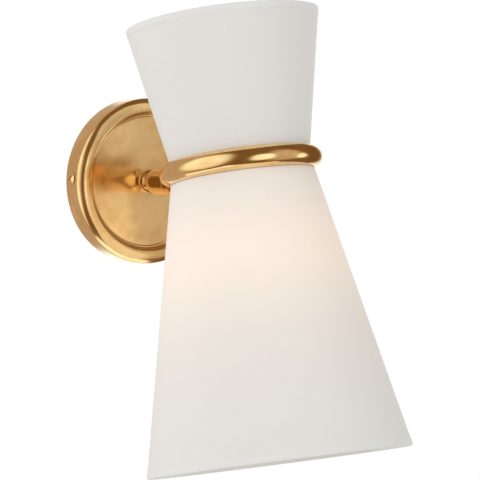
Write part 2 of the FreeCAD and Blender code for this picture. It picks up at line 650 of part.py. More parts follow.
def bulb_outline(skin):
    """Pear-shaped outline of the glass, inset by skin: a neck and a ball joined by one hollow arc."""
    neck, neck_end, collar, collar_top, collar_rise, lowest = 14.0, -34.0, 12.2, BULB_CAP_END + 0.1, 6.0, -45.0
    drop = neck_end - BULB_CENTRE
    hollow = (neck ** 2 + drop ** 2 - BULB_RADIUS ** 2) / (2 * (BULB_RADIUS - neck))
    lean = math.atan2(drop, neck + hollow)
    ball = BULB_RADIUS - skin
    bend = hollow + skin
    half_lean = lean / 2
    join = (ball * math.cos(lean), BULB_CENTRE + ball * math.sin(lean))
    middle = (neck + hollow - bend * math.cos(half_lean), neck_end - bend * math.sin(half_lean))
    side = (ball * math.cos(math.radians(lowest)), BULB_CENTRE + ball * math.sin(math.radians(lowest)))
    inside_cap = BULB_CAP_END + collar_rise
    return turned((0, inside_cap), (collar - skin, inside_cap), (collar - skin, collar_top),
                  (neck - skin, BULB_CAP_END - 3), (neck - skin, neck_end), (middle, join),
                  (side, (0, BULB_CENTRE - ball)))


def bulb_glass():
    """Frosted glass envelope."""
    return in_head(bulb_outline(0).cut(bulb_outline(GLASS)))


def bulb_cap():
    """Rolled screw cap of the bulb: six rounded thread turns as ridges on a thin shell."""
    pitch, depth, plain_collar, inner, end_opening = 3.0, 0.6, 3.0, 12.3, 8.6
    root = BULB_CAP_RADIUS - depth
    height = BULB_CAP_END + plain_collar
    steps = [(root, BULB_CAP_END), (root, height)]
    while height + pitch <= CAP_TOP - 0.5:
        steps.append(((BULB_CAP_RADIUS, height + pitch / 2), (root, height + pitch)))
        height += pitch
    steps += [(root, CAP_TOP - 1), (end_opening, CAP_TOP), (end_opening, CAP_TOP - 0.6),
              (inner - 0.4, CAP_TOP - 1.4), (inner, CAP_TOP - 3)]
    return in_head(turned((inner, BULB_CAP_END), *steps))


def bulb_insulator():
    """Black glass disc between the cap and the tip contact."""
    radius, top_radius, edge = 8.5, 4.8, CAP_TOP - 0.5
    return in_head(turned((0, edge), (radius, edge), (radius, CAP_TOP), (top_radius, TIP_BASE), (0, TIP_BASE)))


def bulb_tip():
    """Soldered contact at the end of the bulb."""
    radius = 4.6
    return in_head(turned((0, TIP_BASE), (radius, TIP_BASE), dome(radius, TIP_BASE, BULB_TIP)))


# ---------------------------------------------------------------- writing the pieces

def main():
    upper = shade_pieces(upper_radius, UPPER_HEIGHT, CARRIER_TOP)
    lower = shade_pieces(lower_radius, LOWER_HEIGHT, LUG_TOP)
    nodes = {
        "mounting_plate": mounting_plate(),
        "earth_screw": earth_screw(),
        "backplate": backplate(),
        "side_screws": side_screws(),
        "stem_flange": stem_flange(),
        "stem": stem(),
        "stem_nipple": stem_nipple(),
        "nipple_washer": nipple_washer(),
        "nipple_locknut": nipple_locknut(),
        "swivel_stem_half": swivel_stem_half(),
        "friction_washer": friction_washer(),
        "pivot_screw": pivot_screw(),
        "spring_washer": spring_washer(),
        "pivot_nut": pivot_nut(),
        "swivel_ring_half": swivel_ring_half(),
        "saddle_washer": saddle_washer(),
        "spigot_nut": spigot_nut(),
        "waist_ring": waist_ring(),
        "shade_carrier": shade_carrier(),
        "carrier_screws": carrier_screws(),
        "carrier_nuts": carrier_nuts(),
        "lampholder_body": lampholder_body(),
        "lampholder_ring": lampholder_ring(),
        "lampholder_cap": lampholder_cap(),
        "screw_shell": screw_shell(),
        "centre_contact": centre_contact(),
        "terminal_screws": terminal_screws(),
        "bulb_glass": bulb_glass(),
        "bulb_cap": bulb_cap(),
        "bulb_insulator": bulb_insulator(),
        "bulb_tip": bulb_tip(),
    }
    names = ("fabric", "liner", "edge_wire", "hem", "waist_wire")
    for name, shape in zip(names, upper):
        nodes["upper_" + name] = in_head(shape)
    for name, shape in zip(names, lower):
        nodes["lower_" + name] = in_head(turned_over(shape))
    os.makedirs("parts", exist_ok=True)
    for name, shape in nodes.items():
        if not shape.isValid():
            print("not valid:", name)
        shape.exportStep("parts/" + name + ".step")
        print(name, len(shape.Solids), round(shape.Volume))


main()
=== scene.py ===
import json
import math

import bmesh
import bpy
from mathutils import Matrix, Vector


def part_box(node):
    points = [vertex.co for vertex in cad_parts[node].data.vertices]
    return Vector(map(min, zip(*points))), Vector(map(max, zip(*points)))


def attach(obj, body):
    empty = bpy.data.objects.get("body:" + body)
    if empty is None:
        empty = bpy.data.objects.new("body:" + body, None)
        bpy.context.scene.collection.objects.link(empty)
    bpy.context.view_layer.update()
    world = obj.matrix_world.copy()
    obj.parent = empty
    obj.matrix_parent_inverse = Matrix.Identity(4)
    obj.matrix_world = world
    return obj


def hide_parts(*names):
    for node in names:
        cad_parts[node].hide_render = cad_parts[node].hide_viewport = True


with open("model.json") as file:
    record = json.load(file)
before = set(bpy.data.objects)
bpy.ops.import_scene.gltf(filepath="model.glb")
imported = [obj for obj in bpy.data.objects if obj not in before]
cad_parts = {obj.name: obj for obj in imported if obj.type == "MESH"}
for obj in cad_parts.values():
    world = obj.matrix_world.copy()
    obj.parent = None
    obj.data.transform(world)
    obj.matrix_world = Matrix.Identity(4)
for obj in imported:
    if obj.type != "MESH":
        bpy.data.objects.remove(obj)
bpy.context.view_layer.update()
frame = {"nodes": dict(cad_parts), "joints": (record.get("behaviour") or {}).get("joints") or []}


# ---------------------------------------------------------------- Backplate
# A dish spun from 1.2 mm brass sheet: a straight rim, a rolled shoulder, a broad bead and a flat disc
# sunk behind a small step. It was brushed on the lathe, aged a little and lacquered.

plate_axis = (0.0, 1.0, 0.0)
plate_centre = (0.0, 0.0, 0.0)
brass_bright = (1.0, 0.74, 0.36, 1)
brass_aged = (0.72, 0.4, 0.13, 1)
brass_roughness = 0.145
patch_browning = 0.36
band_browning = 0.24
patch_dulling = 0.025
mark_dulling = 0.05


def feed(tree, socket, value):
    """Sets a socket to a value, or links another node's output to it."""
    if isinstance(value, bpy.types.NodeSocket):
        tree.links.new(value, socket)
    else:
        socket.default_value = value


def add(tree, kind, *inputs, **settings):
    """Places a shader node. Its inputs, in order, are values or other nodes' outputs, and None skips one."""
    node = tree.nodes.new("ShaderNode" + kind)
    for title, value in settings.items():
        setattr(node, title, value)
    for socket, value in zip(node.inputs, inputs):
        if value is not None:
            feed(tree, socket, value)
    return node


def maths(tree, operation, *inputs):
    """One sum on numbers."""
    return add(tree, "Math", *inputs, operation=operation).outputs[0]


def vectors(tree, operation, *inputs):
    """One sum on vectors that gives a vector."""
    return add(tree, "VectorMath", *inputs, operation=operation).outputs[0]


def measure(tree, operation, *inputs):
    """One sum on vectors that gives a number."""
    return add(tree, "VectorMath", *inputs, operation=operation).outputs[1]


def between(tree, value, low, high, first=0.0, second=1.0):
    """A smooth step from first, at low, to second, at high."""
    return add(tree, "MapRange", value, low, high, first, second, interpolation_type="SMOOTHSTEP").outputs[0]


def noise(tree, place, scale, detail, roughness):
    """Smooth noise, from 0 to 1, at a place."""
    return add(tree, "TexNoise", place, None, scale, detail, roughness).outputs[0]


def two_tone(tree, share, first, second):
    """A mix of two colours by a mask: the first where it is 0 and the second where it is 1."""
    node = add(tree, "Mix", data_type="RGBA", clamp_factor=True)
    for number, value in ((0, share), (6, first), (7, second)):
        feed(tree, node.inputs[number], value)
    return node.outputs[2]


def new_group(name, inputs, outputs):
    """Starts a node group and returns its tree, its inputs and its outputs."""
    group = bpy.data.node_groups.new(name, "ShaderNodeTree")
    for title, kind, start in inputs:
        socket = group.interface.new_socket(title, in_out="INPUT", socket_type="NodeSocket" + kind)
        socket.default_value = start
    for title, kind in outputs:
        group.interface.new_socket(title, in_out="OUTPUT", socket_type="NodeSocket" + kind)
    given = group.nodes.new("NodeGroupInput").outputs
    gives = group.nodes.new("NodeGroupOutput").inputs
    return group, given, gives


def use(tree, group, **values):
    """Places a node group in a material and returns its outputs."""
    node = tree.nodes.new("ShaderNodeGroup")
    node.node_tree = group
    for title, value in values.items():
        feed(tree, node.inputs[title], value)
    return node.outputs


def new_finish(name, **constants):
    """Starts a material and sets what is the same all over the surface on the shader's own sockets."""
    material = bpy.data.materials.new(name)
    material.use_nodes = True
    tree = material.node_tree
    shader = tree.nodes["Principled BSDF"]
    for title, value in constants.items():
        shader.inputs[title.replace("_", " ")].default_value = value
    return material, tree, shader.inputs


def raised(tree, shader_inputs, height, depth, strength=1.0):
    """Turns a pattern's height, from 0 to 1, into relief of that depth in metres."""
    bump = tree.nodes.new("ShaderNodeBump")
    bump.inputs["Strength"].default_value = strength
    bump.inputs["Distance"].default_value = depth
    tree.links.new(height, bump.inputs["Height"])
    tree.links.new(bump.outputs["Normal"], shader_inputs["Normal"])


def dress(material, *names):
    """Gives CAD nodes their finish."""
    for name in names:
        for slot in frame["nodes"][name].material_slots:
            slot.material = material


def about_axis_group():
    """Where a point lies about a turned piece's axis: its radius, its height, and its turn from start."""
    group, given, gives = new_group(
        "about_axis",
        [("point", "Vector", (0, 0, 0)), ("axis", "Vector", (0, 1, 0)), ("start", "Vector", (1, 0, 0))],
        [("radius", "Float"), ("height", "Float"), ("turn", "Float")])
    place = add(group, "TexCoord").outputs["Object"]
    offset = vectors(group, "SUBTRACT", place, given["point"])
    height = measure(group, "DOT_PRODUCT", offset, given["axis"])
    along = vectors(group, "SCALE", given["axis"], None, None, height)
    outward = vectors(group, "SUBTRACT", offset, along)
    side = vectors(group, "CROSS_PRODUCT", given["axis"], given["start"])
    turn = maths(group, "ARCTAN2", measure(group, "DOT_PRODUCT", outward, side),
                 measure(group, "DOT_PRODUCT", outward, given["start"]))
    group.links.new(measure(group, "LENGTH", outward), gives["radius"])
    group.links.new(height, gives["height"])
    group.links.new(turn, gives["turn"])
    return group


def turning_marks_group():
    """Fine lines that a lathe or a brushing wheel leaves round an axis, and slow bands of shine."""
    group, given, gives = new_group(
        "turning_marks",
        [("radius", "Float", 0.0), ("height", "Float", 0.0), ("spacing", "Float", 0.0004)],
        [("lines", "Float"), ("bands", "Float")])
    fine_radius = maths(group, "DIVIDE", given["radius"], given["spacing"])
    fine_height = maths(group, "DIVIDE", given["height"], given["spacing"])
    fine = add(group, "CombineXYZ", fine_radius, fine_height).outputs[0]
    slow = vectors(group, "SCALE", fine, None, None, 0.11)
    group.links.new(noise(group, fine, 1.0, 2.0, 0.6), gives["lines"])
    group.links.new(noise(group, slow, 1.0, 1.0, 0.5), gives["bands"])
    return group


def blotches_group():
    """Uneven tone from age and handling: broad soft patches with smaller ones inside."""
    group, given, gives = new_group(
        "blotches",
        [("size", "Float", 0.02), ("low", "Float", 0.4), ("high", "Float", 0.65)],
        [("patches", "Float"), ("specks", "Float")])
    place = add(group, "TexCoord").outputs["Object"]
    scale = maths(group, "DIVIDE", 1.0, given["size"])
    broad = noise(group, place, scale, 4.0, 0.55)
    small = noise(group, place, maths(group, "MULTIPLY", scale, 14.0), 2.0, 0.5)
    group.links.new(between(group, broad, given["low"], given["high"]), gives["patches"])
    group.links.new(between(group, small, 0.5, 0.8), gives["specks"])
    return group


about_axis = about_axis_group()
turning_marks = turning_marks_group()
blotches = blotches_group()


def lacquered_brass(name, point, axis, start, spacing, marks_depth, shine=0.0, browning=0.0):
    """Aged brass under clear lacquer. Its marks run round an axis that passes through the point.

    shine makes it smoother than the backplate by that much, and browning gives it more of the aged tone.
    """
    material, tree, shader = new_finish(name, Metallic=1.0, Coat_Weight=0.2, Coat_Roughness=0.06)
    spot = use(tree, about_axis, point=point, axis=axis, start=start)
    marks = use(tree, turning_marks, radius=spot["radius"], height=spot["height"], spacing=spacing)
    age = use(tree, blotches, size=0.024, low=0.4, high=0.62)
    touch = use(tree, blotches, size=0.011, low=0.45, high=0.7)
    tone = maths(tree, "MULTIPLY_ADD", age["patches"], patch_browning, browning)
    tone = maths(tree, "MULTIPLY_ADD", marks["bands"], band_browning, tone)
    tree.links.new(two_tone(tree, tone, brass_bright, brass_aged), shader["Base Color"])
    dullness = maths(tree, "MULTIPLY_ADD", touch["patches"], patch_dulling, brass_roughness - shine)
    dullness = maths(tree, "MULTIPLY_ADD", marks["lines"], mark_dulling, dullness)
    tree.links.new(dullness, shader["Roughness"])
    raised(tree, shader, marks["lines"], marks_depth)
    return material


backplate_brass = lacquered_brass("backplate_brass", plate_centre, plate_axis, (1, 0, 0), spacing=0.00045,
                                  marks_depth=0.0000018)
dress(backplate_brass, "backplate")


# ---------------------------------------------------------------- Side screws
# Two slotted round-head brass screws through the rim into the mounting plate's ears. Each head is
# turned, so its fine marks run round the screw's own axis.

side_screw_depth = sum(corner[1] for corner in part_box("side_screws")) / 2
side_screw_brass = lacquered_brass("side_screw_brass", (0, side_screw_depth, 0), (1, 0, 0), (0, 1, 0),
                                   spacing=0.0003, marks_depth=0.000004, shine=0.04)
dress(side_screw_brass, "side_screws")


# ---------------------------------------------------------------- Mounting plate
# A stamped steel disc behind the backplate, with the locknut and washer that hold the stem's pipe and
# the green earth screw. The steel is zinc plated, so it has a faint yellow and blue cast in patches.

zinc_cool = (0.56, 0.59, 0.61, 1)
zinc_warm = (0.66, 0.63, 0.52, 1)


def zinc_plated(name, patch_size):
    """Bright zinc plating on stamped steel: passivated tints, dull specks and rolling grain."""
    material, tree, shader = new_finish(name, Metallic=1.0)
    tint = use(tree, blotches, size=patch_size, low=0.35, high=0.65)
    dull = use(tree, blotches, size=patch_size / 3, low=0.45, high=0.75)
    tree.links.new(two_tone(tree, tint["patches"], zinc_cool, zinc_warm), shader["Base Color"])
    tree.links.new(maths(tree, "MULTIPLY_ADD", dull["patches"], 0.16, 0.3), shader["Roughness"])
    raised(tree, shader, dull["specks"], 0.000008)
    return material


plate_zinc = zinc_plated("mounting_plate_zinc", 0.016)
fastener_zinc = zinc_plated("fastener_zinc", 0.005)
dress(plate_zinc, "mounting_plate")
dress(fastener_zinc, "nipple_washer", "nipple_locknut", "spring_washer")


def earth_green():
    """Green dyed plating that has rubbed through to bare steel in places."""
    material, tree, shader = new_finish("earth_screw_green", Metallic=0.55)
    rub = use(tree, blotches, size=0.0035, low=0.58, high=0.7)
    tree.links.new(two_tone(tree, rub["patches"], (0.03, 0.25, 0.09, 1), zinc_cool), shader["Base Color"])
    tree.links.new(maths(tree, "MULTIPLY_ADD", rub["specks"], 0.15, 0.33), shader["Roughness"])
    raised(tree, shader, rub["specks"], 0.00001)
    return material


dress(earth_green(), "earth_screw")


# ---------------------------------------------------------------- Stem
# A turned brass cup and a turned stem with a bead, a waist and a long flare. A threaded brass pipe
# inside draws the swivel, stem, cup and backplate together.

stem_brass = lacquered_brass("stem_brass", plate_centre, plate_axis, (1, 0, 0), spacing=0.00035,
                             marks_depth=0.0000015, shine=0.035, browning=0.4)
dress(stem_brass, "stem_flange", "stem")

raw_brass = (0.78, 0.58, 0.27, 1)
raw_brass_dull = (0.62, 0.43, 0.19, 1)
pipe_thread_pitch = 0.001


def thread_group():
    """The rise of a screw thread round an axis: 1 on its crest and 0 in its root."""
    group, given, gives = new_group(
        "screw_thread",
        [("height", "Float", 0.0), ("turn", "Float", 0.0), ("pitch", "Float", 0.001)],
        [("rise", "Float")])
    turns = maths(group, "DIVIDE", given["turn"], 2 * math.pi)
    climb = maths(group, "SUBTRACT", maths(group, "DIVIDE", given["height"], given["pitch"]), turns)
    group.links.new(maths(group, "PINGPONG", climb, 0.5), gives["rise"])
    return group


screw_thread = thread_group()


def bare_brass(name, point, axis, start, thread_pitch=None, thread_depth=0.0003):
    """Brass with no lacquer, a little dull, with a thread or plain turning marks round its axis."""
    material, tree, shader = new_finish(name, Metallic=1.0)
    spot = use(tree, about_axis, point=point, axis=axis, start=start)
    tarnish = use(tree, blotches, size=0.008, low=0.4, high=0.7)
    tree.links.new(two_tone(tree, tarnish["patches"], raw_brass, raw_brass_dull), shader["Base Color"])
    tree.links.new(maths(tree, "MULTIPLY_ADD", tarnish["patches"], 0.12, 0.27), shader["Roughness"])
    if thread_pitch:
        thread = use(tree, screw_thread, height=spot["height"], turn=spot["turn"], pitch=thread_pitch)
        raised(tree, shader, thread["rise"], thread_depth)
    else:
        marks = use(tree, turning_marks, radius=spot["radius"], height=spot["height"], spacing=0.0003)
        raised(tree, shader, marks["lines"], 0.000006)
    return material


dress(bare_brass("pipe_brass", plate_centre, plate_axis, (1, 0, 0), pipe_thread_pitch), "stem_nipple")


# ---------------------------------------------------------------- Swivel
# Two hollow half-drums cast in brass turn on a slotted screw, gripped by a fibre washer, a split spring
# washer and a domed nut. One half stays on the stem and the other carries the ring.

pivot = Vector(frame["joints"][0]["pos_m"])
swivel_brass = lacquered_brass("swivel_brass", pivot, (1, 0, 0), (0, 1, 0), spacing=0.0004,
                               marks_depth=0.000003, shine=0.05, browning=0.65)
dress(swivel_brass, "swivel_stem_half", "swivel_ring_half", "pivot_screw", "pivot_nut")


def vulcanised_fibre():
    """Red-brown pressed paper fibre, with short fibres showing in its face."""
    material, tree, shader = new_finish("washer_fibre", Specular_IOR_Level=0.3)
    fibres = use(tree, blotches, size=0.0015, low=0.35, high=0.7)
    tree.links.new(two_tone(tree, fibres["patches"], (0.3, 0.075, 0.04, 1), (0.42, 0.14, 0.075, 1)),
                   shader["Base Color"])
    tree.links.new(maths(tree, "MULTIPLY_ADD", fibres["specks"], 0.1, 0.68), shader["Roughness"])
    raised(tree, shader, fibres["patches"], 0.00003)
    return material


dress(vulcanised_fibre(), "friction_washer")


# ---------------------------------------------------------------- Waist ring
# A 15.4 mm brass tube bent into a ring, brazed and polished along its length, on the shade's own axis.
# The swivel's spigot passes through it and is held by a saddle washer and a nut inside.

ring_low, ring_high = (Vector(corner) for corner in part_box("waist_ring"))
ring_centre = (ring_low + ring_high) / 2
shade_lean = math.radians(11)
shade_up = Vector((0, math.sin(shade_lean), math.cos(shade_lean)))
shade_front = Vector((0, -math.cos(shade_lean), math.sin(shade_lean)))
shade_right = Vector((1, 0, 0))

ring_brass = lacquered_brass("ring_brass", ring_centre, shade_up, shade_front, spacing=0.0006,
                             marks_depth=0.000003, shine=0.03)
dress(ring_brass, "waist_ring")
dress(bare_brass("saddle_brass", ring_centre, shade_front, shade_up), "saddle_washer")
dress(fastener_zinc, "spigot_nut")


# ---------------------------------------------------------------- Carrier and wire hoops
# A pressed steel spider bolted to three lugs in the ring. The same screws hold the tabs of the two
# white-coated wire hoops that the cones stand on.

dress(zinc_plated("carrier_zinc", 0.012), "shade_carrier")
dress(fastener_zinc, "carrier_screws", "carrier_nuts")


def white_coated_wire():
    """White powder coat on wire: a soft orange-peel skin, a little yellow with heat."""
    material, tree, shader = new_finish("hoop_white_coat", Specular_IOR_Level=0.4)
    yellowing = use(tree, blotches, size=0.03, low=0.35, high=0.75)
    peel = use(tree, blotches, size=0.0012, low=0.3, high=0.7)
    tree.links.new(two_tone(tree, yellowing["patches"], (0.78, 0.77, 0.73, 1), (0.7, 0.67, 0.58, 1)),
                   shader["Base Color"])
    tree.links.new(maths(tree, "MULTIPLY_ADD", peel["patches"], 0.12, 0.38), shader["Roughness"])
    raised(tree, shader, peel["patches"], 0.00004)
    return material


dress(white_coated_wire(), "upper_edge_wire", "lower_edge_wire", "upper_waist_wire", "lower_waist_wire")


# ---------------------------------------------------------------- Lampholder
# A black moulded phenolic body with a threaded skirt, a notched clamp ring that grips the carrier, and
# a domed cap over the terminals. Inside are the brass screw shell, the sprung contact and two screws.


def phenolic(name, thread_pitch=None):
    """Black phenolic moulding: a satin skin with faint brown mottling, threaded if a pitch is given."""
    material, tree, shader = new_finish(name, Specular_IOR_Level=0.55)
    flow = use(tree, blotches, size=0.012, low=0.35, high=0.7)
    tree.links.new(two_tone(tree, flow["patches"], (0.012, 0.011, 0.01, 1), (0.035, 0.024, 0.018, 1)),
                   shader["Base Color"])
    tree.links.new(maths(tree, "MULTIPLY_ADD", flow["specks"], 0.12, 0.33), shader["Roughness"])
    if thread_pitch:
        spot = use(tree, about_axis, point=ring_centre, axis=shade_up, start=shade_front)
        thread = use(tree, screw_thread, height=spot["height"], turn=spot["turn"], pitch=thread_pitch)
        skirt = between(tree, spot["height"], 0.0, 0.0008, 1.0, 0.0)
        raised(tree, shader, maths(tree, "MULTIPLY", thread["rise"], skirt), 0.0008)
    else:
        raised(tree, shader, flow["specks"], 0.00003)
    return material


skirt_thread_pitch = 0.0025
shell_thread_pitch = 0.0036
dress(phenolic("lampholder_body_phenolic", skirt_thread_pitch), "lampholder_body")
dress(phenolic("lampholder_phenolic"), "lampholder_ring", "lampholder_cap")
dress(bare_brass("shell_brass", ring_centre, shade_up, shade_front, shell_thread_pitch, 0.001), "screw_shell")
dress(bare_brass("contact_brass", ring_centre, shade_up, shade_front), "centre_contact", "terminal_screws")


# ---------------------------------------------------------------- Bulb
# A pear-shaped frosted glass bulb on a rolled aluminium cap, with a black glass insulator and a soldered
# tip. It is lit, so the glass glows, most round its middle and less in its neck.

bulb_low, bulb_high = (Vector(corner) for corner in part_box("bulb_glass"))
bulb_radius = (bulb_high.x - bulb_low.x) / 2
bulb_drop = 0.075
bulb_centre = ring_centre - shade_up * bulb_drop
lamp_white = (1.0, 0.84, 0.62, 1)


def lamp_glow_group():
    """How much of the bulb's light reaches a point: 1 at the near distance, and less beyond it."""
    group, given, gives = new_group(
        "lamp_glow",
        [("lamp", "Vector", (0, 0, 0)), ("near", "Float", 0.064), ("fall", "Float", 3.0),
         ("most", "Float", 1.2)],
        [("glow", "Float")])
    place = add(group, "TexCoord").outputs["Object"]
    away = measure(group, "DISTANCE", place, given["lamp"])
    share = maths(group, "POWER", maths(group, "DIVIDE", given["near"], away), given["fall"])
    group.links.new(maths(group, "MINIMUM", share, given["most"]), gives["glow"])
    return group


lamp_glow = lamp_glow_group()


def frosted_glass():
    """Glass frosted on the inside: a smooth skin over a milky body that the lamp lights from within."""
    material, tree, shader = new_finish("bulb_frosted_glass", Roughness=0.28, Emission_Strength=0.3,
                                        Coat_Weight=0.5, Coat_Roughness=0.04)
    milk = use(tree, blotches, size=0.01, low=0.3, high=0.7)
    light = use(tree, lamp_glow, lamp=bulb_centre, near=bulb_radius, fall=1.6, most=1.0)
    tree.links.new(two_tone(tree, milk["patches"], (0.8, 0.79, 0.76, 1), (0.75, 0.73, 0.69, 1)),
                   shader["Base Color"])
    tree.links.new(two_tone(tree, light["glow"], (0.25, 0.17, 0.09, 1), lamp_white), shader["Emission Color"])
    raised(tree, shader, milk["specks"], 0.00001)
    return material


def rolled_aluminium():
    """Soft aluminium sheet rolled to a screw cap, scuffed round its thread crests."""
    material, tree, shader = new_finish("bulb_cap_aluminium", Metallic=1.0)
    spot = use(tree, about_axis, point=ring_centre, axis=shade_up, start=shade_front)
    marks = use(tree, turning_marks, radius=spot["radius"], height=spot["height"], spacing=0.0003)
    scuffs = use(tree, blotches, size=0.004, low=0.45, high=0.7)
    tree.links.new(two_tone(tree, scuffs["patches"], (0.8, 0.8, 0.79, 1), (0.6, 0.6, 0.6, 1)),
                   shader["Base Color"])
    tree.links.new(maths(tree, "MULTIPLY_ADD", scuffs["patches"], 0.2, 0.3), shader["Roughness"])
    raised(tree, shader, marks["lines"], 0.00001)
    return material


def black_glass():
    """Vitrified black glass round the tip contact, with a faint purple tinge and fine pits."""
    material, tree, shader = new_finish("bulb_black_glass", Coat_Weight=0.8, Coat_Roughness=0.05)
    pits = use(tree, blotches, size=0.003, low=0.4, high=0.7)
    tree.links.new(two_tone(tree, pits["patches"], (0.012, 0.01, 0.014, 1), (0.03, 0.018, 0.03, 1)),
                   shader["Base Color"])
    tree.links.new(maths(tree, "MULTIPLY_ADD", pits["specks"], 0.2, 0.12), shader["Roughness"])
    raised(tree, shader, pits["specks"], 0.00004)
    return material


bulb_aluminium = rolled_aluminium()
dress(frosted_glass(), "bulb_glass")
dress(bulb_aluminium, "bulb_cap", "bulb_tip")
dress(black_glass(), "bulb_insulator")


# ---------------------------------------------------------------- Shade cloth
# Each cone is a sector of plain-woven white cloth laminated on white styrene film, wrapped round and
# glued in a lap seam at the back, towards the wall. The threads are straight on the flat sector. The
# bulb's light through the cloth is painted on it as a warm glow.

ring_tube = 0.0077
seat_gap = 0.0001
cloth_end_gap = 0.0006
cloth_thickness = 0.0007
cloth_slack = 0.00012
lap_width = 0.009
lap_rise = 0.00085
thread_pitch = 0.00042
thread_relief = 0.00006
thread_gap_shade = 0.22
thread_streak_shade = 0.1
along_thread_share = 0.03
cloth_white = (0.776, 0.755, 0.722, 1)
cloth_gap = (0.665, 0.648, 0.612, 1)
# Painted light: the warm colour of the bulb's light seen through the cloth, drawn as a glow on it.
painted_glow_warm = (1.0, 0.54, 0.19, 1)
crease_angle = math.radians(50)
columns = 240
rows = 36

cones = {
    "upper": {"way": 1, "length": 0.103, "waist": 0.0474, "mouth": 0.0673},
    "lower": {"way": -1, "length": 0.2058, "waist": 0.0484, "mouth": 0.0918},
}


def cone_radius(cone, reach):
    """A cone's outer radius at a distance from the ring's middle plane, along the shade's axis."""
    return cone["waist"] + (cone["mouth"] - cone["waist"]) * reach / cone["length"]


def on_shade(cone, radius, turn, reach):
    """A point on the shade: turn is measured from the front, towards the right."""
    outward = shade_front * math.cos(turn) + shade_right * math.sin(turn)
    return ring_centre + shade_up * (cone["way"] * reach) + outward * radius


def smooth_step(value):
    """0 below 0, 1 above 1, and a smooth rise between."""
    value = min(max(value, 0.0), 1.0)
    return value * value * (3 - 2 * value)


def skin_of_grid(name, outside, inside):
    """A closed thin sheet from two grids of points, joined along their four edges."""
    mesh = bmesh.new()
    fronts = [[mesh.verts.new(point) for point in line] for line in outside]
    backs = [[mesh.verts.new(point) for point in line] for line in inside]
    last_row = len(fronts) - 1
    last_column = len(fronts[0]) - 1
    for row in range(last_row):
        for column in range(last_column):
            corners = ((row, column), (row, column + 1), (row + 1, column + 1), (row + 1, column))
            mesh.faces.new([fronts[line][place] for line, place in corners])
            mesh.faces.new([backs[line][place] for line, place in reversed(corners)])
    rim = [(0, column) for column in range(last_column)]
    rim += [(row, last_column) for row in range(last_row)]
    rim += [(last_row, column) for column in range(last_column, 0, -1)]
    rim += [(row, 0) for row in range(last_row, 0, -1)]
    for here, there in zip(rim, rim[1:] + rim[:1]):
        mesh.faces.new([fronts[there[0]][there[1]], fronts[here[0]][here[1]],
                        backs[here[0]][here[1]], backs[there[0]][there[1]]])
    return finished_piece(name, mesh)


def finished_piece(name, mesh):
    """Turns a bmesh into a smooth-shaded object with its faces outward."""
    bmesh.ops.recalc_face_normals(mesh, faces=mesh.faces)
    for face in mesh.faces:
        face.smooth = True
    data = bpy.data.meshes.new(name)
    mesh.to_mesh(data)
    mesh.free()
    data.set_sharp_from_angle(angle=crease_angle)
    piece = bpy.data.objects.new(name, data)
    bpy.context.scene.collection.objects.link(piece)
    return piece


def cloth_cone(name, cone, slack_phase):
    """The wrapped sector: it begins under the lap and ends over it."""
    start = ring_tube + seat_gap
    end = cone["length"] - cloth_end_gap
    lap_turn = lap_width / cone_radius(cone, cone["length"] / 2)
    outside = []
    inside = []
    for row in range(rows + 1):
        reach = start + (end - start) * row / rows
        radius = cone_radius(cone, reach)
        drape = math.sin(math.pi * row / rows)
        outer_line = []
        inner_line = []
        for column in range(columns + 1):
            turn = -math.pi + (2 * math.pi + lap_turn) * column / columns
            over = smooth_step((turn - math.pi + 1.2 * lap_turn) / lap_turn)
            slack = math.sin(2 * turn + slack_phase) + 0.6 * math.sin(5 * turn - 2 * slack_phase)
            outer = radius + over * lap_rise + cloth_slack * drape * slack
            outer_line.append(on_shade(cone, outer, turn, reach))
            inner_line.append(on_shade(cone, outer - cloth_thickness, turn, reach))
        outside.append(outer_line)
        inside.append(inner_line)
    return skin_of_grid(name, outside, inside)


def flat_pattern_group():
    """Unrolls a cone: the place of a point on the flat sector that its cloth was cut from."""
    group, given, gives = new_group(
        "flat_pattern",
        [("radius", "Float", 0.05), ("turn", "Float", 0.0), ("opening", "Float", 0.2)],
        [("across", "Float"), ("along", "Float")])
    slant = maths(group, "DIVIDE", given["radius"], given["opening"])
    angle = maths(group, "MULTIPLY", given["turn"], given["opening"])
    group.links.new(maths(group, "MULTIPLY", slant, maths(group, "SINE", angle)), gives["across"])
    group.links.new(maths(group, "MULTIPLY", slant, maths(group, "COSINE", angle)), gives["along"])
    return group


def thread_layer(tree, across, along, shift):
    """The rise of one set of threads: each goes over and under its neighbours in turn."""
    number = maths(tree, "FLOOR", across)
    arch = maths(tree, "SINE", maths(tree, "MULTIPLY", maths(tree, "SUBTRACT", across, number), math.pi))
    phase = maths(tree, "ADD", maths(tree, "ADD", along, number), shift)
    wave = maths(tree, "COSINE", maths(tree, "MULTIPLY", phase, math.pi))
    lift = maths(tree, "MULTIPLY_ADD", wave, 0.5, 0.5)
    return maths(tree, "MULTIPLY", arch, lift)


def plain_weave_group():
    """Plain weave on flat cloth: the threads' relief, and the tone that differs from thread to thread."""
    group, given, gives = new_group(
        "plain_weave",
        [("across", "Float", 0.0), ("along", "Float", 0.0), ("pitch", "Float", thread_pitch)],
        [("relief", "Float"), ("streaks", "Float")])
    warp_place = maths(group, "DIVIDE", given["across"], given["pitch"])
    weft_place = maths(group, "DIVIDE", given["along"], given["pitch"])
    warp = thread_layer(group, warp_place, weft_place, 0.0)
    weft = thread_layer(group, weft_place, warp_place, 1.0)
    group.links.new(maths(group, "MAXIMUM", warp, weft), gives["relief"])
    slow_warp = maths(group, "MULTIPLY", warp_place, along_thread_share)
    slow_weft = maths(group, "MULTIPLY", weft_place, along_thread_share)
    warp_tone = noise(group, add(group, "CombineXYZ", warp_place, slow_weft).outputs[0], 0.55, 1.0, 0.5)
    weft_tone = noise(group, add(group, "CombineXYZ", slow_warp, weft_place).outputs[0], 0.4, 1.0, 0.5)
    both_tones = maths(group, "ADD", warp_tone, weft_tone)
    group.links.new(maths(group, "MULTIPLY", both_tones, 0.5), gives["streaks"])
    return group


